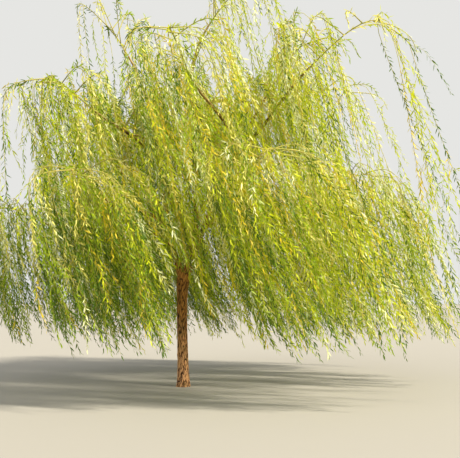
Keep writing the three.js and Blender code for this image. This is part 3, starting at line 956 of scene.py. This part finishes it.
# Shoots along one twig: the first ends it, and the others leave it a little aside and then hang
# in the breeze. They are tried at full length and at half, and left out where neither fits.
def make_shoots(mass, carrier, count, seed, bend, splay, rise=0.0, first=SHOOTS_FROM):
    n = np.arange(count)
    number = mass["number"]
    t = np.where(n == 0, NEAR_END, first + (SHOOTS_TO - first) * fraction(0.2 + GOLDEN * n))
    along, normal, side = cross_frames(carrier)
    place = t * (len(carrier) - 1)
    i = np.minimum(place.astype(int), len(carrier) - 2)
    start = carrier[i] + (carrier[i + 1] - carrier[i]) * (place - i)[:, None]
    spin = 2 * math.pi * fraction(SHOOT_SPIRAL * n + chance(number, seed, 12))
    around = normal[i] * np.cos(spin)[:, None] + side[i] * np.sin(spin)[:, None]
    splayed = splay * (SPLAY_LEAST + SPLAY_SPREAD * chance(n, seed, 13))
    angle = np.radians(np.where(n == 0, END_SHOOT_SPLAY, splayed))[:, None]
    out = unit(along[i] * np.cos(angle) + around * np.sin(angle) + UP * rise)
    fall = hanging(start, number * 31 + seed, n, SHOOT_LEAN_SPREAD)
    floor = mass["limb"]["floor"] - SHOOT_BELOW_FLOOR
    low = floor + SHOOT_FLOOR_SPREAD * chance(number, seed, n + 31) ** 2
    length = SHOOT_LENGTH * (SHOOT_SHORTEST + SHOOT_LENGTH_SPREAD * chance(number, seed, n + 60))
    full = np.minimum(length, (start[:, 2] - low) / -fall[:, 2])
    kept = []
    left = full > SHOOT_LEAST
    for share in SHOOT_SHARES:
        chosen = np.flatnonzero(left)
        if len(chosen) == 0:
            break
        points = whip(start[chosen], out[chosen], fall[chosen], full[chosen] * share, SHOOT_STEPS, bend)
        good = fits(mass, points)
        kept.append(points[good])
        left[chosen[good]] = False
    return np.concatenate(kept) if kept else np.zeros((0, len(SHOOT_STEPS), 3))


def path_length(points):
    return float(np.linalg.norm(np.diff(points, axis=0), axis=1).sum())


# How much of the foliage stays at a place. The crown is open where the sky shows through it: on
# its downwind shoulder, at its top, more so in front than behind, at its windward edge, and at
# the corner between these two.
def fullness(p):
    x, y, z = p[..., 0], p[..., 1], p[..., 2]
    shoulder = OPEN_SHOULDER * smooth(x, *SHOULDER_DOWNWIND) * smooth(z, *SHOULDER_HEIGHT)
    top = OPEN_TOP * smooth(z - TOP_LOWER_IN_FRONT * y, *TOP_HEIGHT)
    edge = OPEN_EDGE * smooth(-x, *EDGE_UPWIND) * smooth(z, *EDGE_HEIGHT)
    corner = OPEN_CORNER * smooth(z - CORNER_LOWER_UPWIND * x, *CORNER_HEIGHT)
    return (1 - shoulder) * (1 - top) * (1 - edge) * (1 - corner)


# Shoots on the whips of a mass, on its stem and branches, and on the limb that carries it
def make_every_shoot(mass, stem, branches, whips):
    each = mass["limb"]
    made = []
    for seed, points in enumerate(whips):
        count = max(SHOOTS_AT_LEAST, round(path_length(points) / SHOOT_PITCH))
        made.append(make_shoots(mass, points, count, seed, SHOOT_BEND, SHOOT_SPLAY))
    for seed, points in enumerate([stem] + branches, 100):
        count = round(path_length(points) / CROWN_SHOOT_PITCH[each["tier"]])
        made.append(
            make_shoots(mass, points, count, seed, CROWN_SHOOT_BEND, CROWN_SHOOT_SPLAY, CROWN_SHOOT_RISE)
        )
    course = each["curve"].at(np.linspace(LIMB_SHOOTS_BEYOND, 1, len(STEM_STEPS)))
    count = round(path_length(course) / LIMB_SHOOT_PITCH)
    made.append(
        make_shoots(mass, course, count, 200, CROWN_SHOOT_BEND, LIMB_SHOOT_SPLAY, first=LIMB_SHOOTS_FROM)
    )
    return np.concatenate(made)


# One mass, with its twigs of each kind in rows
def grow(mass):
    number, start, out = mass["number"], mass["start"], mass["out"]
    fall = hanging(start, number, 0)
    stem = first_fit(
        mass, STEM_SHARES, lambda share: arch(start, out, fall, mass["stem_length"] * share, STEM_STEPS)
    )
    branches = make_branches(mass, stem)
    whips = np.stack(make_whips(mass, stem, branches) + make_limb_whips(mass))
    full = fullness(whips[:, [1, len(WHIP_STEPS) // 2]]).min(-1)
    whips = whips[chance(np.arange(len(whips)), number, 18) < WHIPS_KEPT + (1 - WHIPS_KEPT) * full]
    branches = [branch for early, branch in branches]
    shoots = make_every_shoot(mass, stem, branches, whips)
    shoots = shoots[chance(np.arange(len(shoots)), number, 17) < fullness(shoots[:, 2])]
    return {"stems": stem[None], "branches": np.stack(branches), "whips": whips, "shoots": shoots}


# A mesh from rows of vertices and lists of faces, each list with one number of corners
def mesh_from(name, vertices, face_lists):
    mesh = bpy.data.meshes.new(name)
    corners = np.concatenate([faces.ravel() for faces in face_lists])
    sizes = np.concatenate([np.full(len(faces), faces.shape[1]) for faces in face_lists])
    mesh.vertices.add(len(vertices))
    mesh.vertices.foreach_set("co", vertices.astype(np.float32).ravel())
    mesh.loops.add(len(corners))
    mesh.loops.foreach_set("vertex_index", corners.astype(np.int32))
    mesh.polygons.add(len(sizes))
    starts = np.concatenate([[0], np.cumsum(sizes)[:-1]])
    mesh.polygons.foreach_set("loop_start", starts.astype(np.int32))
    mesh.update(calc_edges=True)
    mesh.shade_smooth()
    return mesh


# Closed tubes along twigs in rows, each tapering to a share of its radius at the tip
def twig_tubes(points, radius, tip_share):
    twigs, rings = points.shape[:2]
    normal, side = cross_frames(points)[1:]
    radii = radius * (1 + (tip_share - 1) * np.linspace(0, 1, rings))
    angles = np.arange(TUBE_SIDES) * 2 * math.pi / TUBE_SIDES
    out = (
        normal[:, :, None] * np.cos(angles)[None, None, :, None]
        + side[:, :, None] * np.sin(angles)[None, None, :, None]
    )
    vertices = points[:, :, None] + out * radii[None, :, None, None]
    ring = np.arange(twigs * rings * TUBE_SIDES).reshape(twigs, rings, TUBE_SIDES)
    turned = np.roll(ring, -1, axis=2)
    sides = np.stack([ring[:, :-1], turned[:, :-1], turned[:, 1:], ring[:, 1:]], -1).reshape(-1, 4)
    ends = np.concatenate([ring[:, 0, ::-1], ring[:, -1]])
    return vertices.reshape(-1, 3), sides, ends


# One piece of tubes from groups of twigs, each with its radius and the share left at its tip
def place_tubes(name, groups):
    vertices, sides, ends, used = [], [], [], 0
    for points, radius, tip_share in groups:
        group_vertices, group_sides, group_ends = twig_tubes(points, radius, tip_share)
        vertices.append(group_vertices)
        sides.append(group_sides + used)
        ends.append(group_ends + used)
        used += len(group_vertices)
    faces = [np.concatenate(sides), np.concatenate(ends)]
    return place_piece(name, mesh_from(name, np.concatenate(vertices), faces))


# The kind of leaf that a whole twig carries, dealt by where it hangs in the crown, with a weight
# for each kind: young leaves towards the light on the right and silvery ones high on the right,
# as painted light and painted highlights, fewer of these and of the straw ones in the shade, deep
# and full-grown ones low on the left, where they are painted shade, and yellowed ones in two
# places.
def deal_kinds(middle, rng):
    x, z = middle[:, 0], middle[:, 2]
    right = smooth(x, *LIT_FROM_LEFT)
    high = smooth(z, *LIT_FROM_BELOW)
    # Shade is painted low in the crown, less so on the right, by the kinds dealt there.
    shaded = (1 - SHADE_LOST_RIGHT * right) * (1 - smooth(z, *SHADE_TO_HEIGHT))
    yellowed = 0
    for downwind, height, spread in YELLOWED_PLACES:
        yellowed = yellowed + np.exp(-((x - downwind) ** 2 + (z - height) ** 2) / spread)
    # The young, straw and silvery kinds thin out in the shade and paint light and highlights; the green
    # and deep kinds gather in it and paint shade.
    weights = {
        "fresh_and_sunlit": 0.28 + 0.16 * right - 0.22 * shaded,
        "green": 0.24 - 0.06 * right + 0.08 * high + 0.16 * shaded,
        "deep_green_and_shade": 0.20 * (1 - 0.5 * right) * (1 + 0.4 * high) + 0.62 * shaded,
        "straw_and_highlight": 0.13 - 0.08 * shaded,
        "silver_and_highlight": 0.11 + 0.04 * high + 0.08 * right * high - 0.08 * shaded,
        "gold": 0.03 + 0.10 * yellowed,
    }
    level = np.cumsum(np.stack([weights[kind] for kind in LEAF_KINDS], -1), -1)
    return (rng.random(len(middle))[:, None] * level[:, -1:] > level).sum(-1)


# Leaves along twigs in rows, in a spiral, each one bent lance of four faces
def make_leaves(points, kinds, owners, first, rng):
    length = np.linalg.norm(np.diff(points, axis=1), axis=-1).sum(-1)
    counts = np.maximum(LEAVES_LEAST, ((1 - first) * length / LEAF_PITCH).astype(int))
    twig = np.repeat(np.arange(len(points)), counts)
    n = np.arange(len(twig)) - np.repeat(np.cumsum(counts) - counts, counts)
    shifted = n + 0.5 + LEAF_PITCH_SPREAD * (rng.random(len(n)) - 0.5)
    t = first + (1 - first) * shifted / counts[twig]
    place = np.minimum(t, 0.999) * (points.shape[1] - 1)
    i = place.astype(int)
    root = points[twig, i] + (points[twig, i + 1] - points[twig, i]) * (place - i)[:, None]
    along, normal, side = (direction[twig, i] for direction in cross_frames(points))
    spin = np.radians(SPIRAL * n + SPIRAL_SPREAD * (rng.random(len(n)) - 0.5)) + twig
    around = normal * np.cos(spin)[:, None] + side * np.sin(spin)[:, None]
    spread = LEAF_SPREAD_LEAST + LEAF_SPREAD_OVER * rng.random(len(n))
    spread = np.radians(LEAF_SPREAD * (1 - LEAF_SPREAD_LOST * t) * spread)[:, None]
    ahead = unit(along * np.cos(spread) + around * np.sin(spread) + point(*LEAF_HANG))
    across = unit(np.cross(ahead, around))
    roll = np.radians(LEAF_ROLL_SPREAD * (rng.random(len(n)) - 0.5))[:, None]
    back = np.cross(across, ahead)
    across = across * np.cos(roll) + back * np.sin(roll)
    back = np.cross(across, ahead)
    size = LEAF_SMALLEST + LEAF_SIZE_SPREAD * rng.random(len(n))
    size *= LEAF_SIZE_AT_ENDS + (1 - LEAF_SIZE_AT_ENDS) * np.sin(math.pi * np.clip(t, 0.1, 0.9))
    bow = LEAF_BOW_LEAST + LEAF_BOW_SPREAD * rng.random(len(n))
    u, v = np.array(LEAF_OUTLINE).T
    blade = root[:, None] + ahead[:, None] * (u * LEAF_LENGTH * size[:, None])[..., None]
    blade += across[:, None] * (v * LEAF_WIDTH * size[:, None])[..., None]
    blade -= back[:, None] * (u**2 * (bow * LEAF_LENGTH * size)[:, None])[..., None]
    return {"blade": blade, "kind": kinds[twig], "owner": owners[twig]}


# The name and the rows of each piece, where all the rows would be too many triangles for one
def shared_out(name, rows, triangles_each):
    parts = math.ceil(len(rows) * triangles_each / PIECE_TRIANGLES)
    for part, some in enumerate(np.array_split(rows, parts)):
        yield name + ("_" + str(part + 1) if parts > 1 else ""), some


def place_twigs(twigs, owners, nodes):
    skin = twig_skin("willow_twig_skin", "#9A9C3C", "#A69744")
    thicker = [
        (twigs["stems"], STEM_RADIUS, STEM_TIP),
        (twigs["branches"], BRANCH_RADIUS, BRANCH_TIP),
        (twigs["whips"], WHIP_RADIUS, WHIP_TIP),
    ]
    dress(place_tubes("twigs", thicker), skin, "young_bark", *nodes)
    shoots = twigs["shoots"]
    triangles_each = 2 * TUBE_SIDES * (len(SHOOT_STEPS) - 1) + 2
    for name, some in shared_out("shoots", np.arange(len(shoots)), triangles_each):
        piece = place_tubes(name, [(shoots[some], SHOOT_RADIUS, SHOOT_TIP)])
        dress(piece, skin, "young_bark", *[nodes[i] for i in np.unique(owners["shoots"][some])])


def place_leaves(kind, blades, owners, nodes):
    material = leaf_blade("willow_leaf_" + kind, *LEAF_KINDS[kind])
    for name, some in shared_out("leaves_" + kind, np.argsort(owners, kind="stable"), len(LEAF_FACES)):
        corner = np.arange(len(some) * len(LEAF_OUTLINE)).reshape(-1, len(LEAF_OUTLINE))
        faces = corner[:, np.array(LEAF_FACES)].reshape(-1, 3)
        mesh = mesh_from(name, blades[some].reshape(-1, 3), [faces])
        dress(place_piece(name, mesh), material, "foliage", *[nodes[i] for i in np.unique(owners[some])])


# The lowest tier has no leaves on its stems and branches, and so no hard edge along its top.
def make_foliage():
    grown = [grow(mass) for mass in masses]
    nodes = [mass["limb"]["mass"] for mass in masses]
    leafy = sum(each["limb"]["tier"] != "skirt" for each in masses)
    rng = np.random.default_rng(LEAF_SEED)
    twigs, owners, batches = {}, {}, []
    for kind in ("shoots", "whips", "branches", "stems"):
        twigs[kind] = np.concatenate([each[kind] for each in grown])
        owners[kind] = np.repeat(np.arange(len(grown)), [len(each[kind]) for each in grown])
    place_twigs(twigs, owners, nodes)
    for kind, first in LEAVES_FROM.items():
        dressed = owners[kind] < (leafy if kind in ("branches", "stems") else len(grown))
        points = twigs[kind][dressed]
        dealt = deal_kinds(points[:, DEALT_AT_POINT[kind]], rng)
        batches.append(make_leaves(points, dealt, owners[kind][dressed], first, rng))
    blade, dealt, owner = (
        np.concatenate([batch[fact] for batch in batches]) for fact in ("blade", "kind", "owner")
    )
    for k, kind in enumerate(LEAF_KINDS):
        place_leaves(kind, blade[dealt == k], owner[dealt == k], nodes)


def make_stage():
    bm = bmesh.new()
    bmesh.ops.create_circle(bm, cap_ends=True, segments=64, radius=FLOOR_RADIUS)
    mesh = bpy.data.meshes.new("floor")
    bm.to_mesh(mesh)
    bm.free()
    floor = place_piece("floor", mesh)
    material = new_material("studio_floor")
    shader = add(material, "BsdfPrincipled", {"Base Color": linear("#94928D"), "Roughness": 0.9})
    add(material, "OutputMaterial", {"Surface": shader.outputs["BSDF"]})
    mesh.materials.append(material)


# The world is a bright backdrop where it is seen, and a weaker even fill elsewhere.
def make_light():
    world = bpy.data.worlds.new("studio")
    bpy.context.scene.world = world
    world.use_nodes = True
    world.node_tree.nodes.clear()
    seen = add(world, "LightPath").outputs["Is Camera Ray"]
    levels = {"Value": seen, "To Min": FILL_LIGHT, "To Max": BACKDROP_LIGHT}
    strength = add(world, "MapRange", levels).outputs["Result"]
    backdrop = add(world, "Background", {"Color": linear("#F1F1EE"), "Strength": strength})
    add(world, "OutputWorld", {"Surface": backdrop.outputs["Background"]})
    make_sun("key", "#FFF4DE", KEY_LIGHT, KEY_SOFTNESS, KEY_AZIMUTH, KEY_ELEVATION)
    make_sun("side", "#FFF8EA", SIDE_LIGHT, SIDE_SOFTNESS, SIDE_AZIMUTH, SIDE_ELEVATION)


def make_sun(name, colour, strength, softness, azimuth, elevation):
    light = bpy.data.lights.new(name, "SUN")
    light.energy = strength
    light.angle = math.radians(softness)
    light.color = linear(colour)[:3]
    sun = bpy.data.objects.new(name, light)
    towards = polar(math.radians(azimuth), 1, math.tan(math.radians(elevation)))
    sun.rotation_euler = Vector(towards).to_track_quat("Z", "Y").to_euler()
    bpy.context.scene.collection.objects.link(sun)


def make_camera():
    data = bpy.data.cameras.new("camera")
    data.sensor_width = SENSOR_WIDTH
    data.lens = SENSOR_WIDTH * FOCAL_PIXELS / FRAME_WIDTH
    data.clip_end = VIEW_END
    camera = bpy.data.objects.new("camera", data)
    camera.location = (0, -EYE_DISTANCE, EYE_HEIGHT)
    camera.rotation_euler = (math.radians(90 + PITCH_UP), 0, math.radians(-YAW_RIGHT))
    bpy.context.scene.collection.objects.link(camera)
    bpy.context.scene.camera = camera


make_camera()
make_stage()
make_light()
bpy.context.scene.view_settings.view_transform = "Standard"
make_wood()
make_foliage()
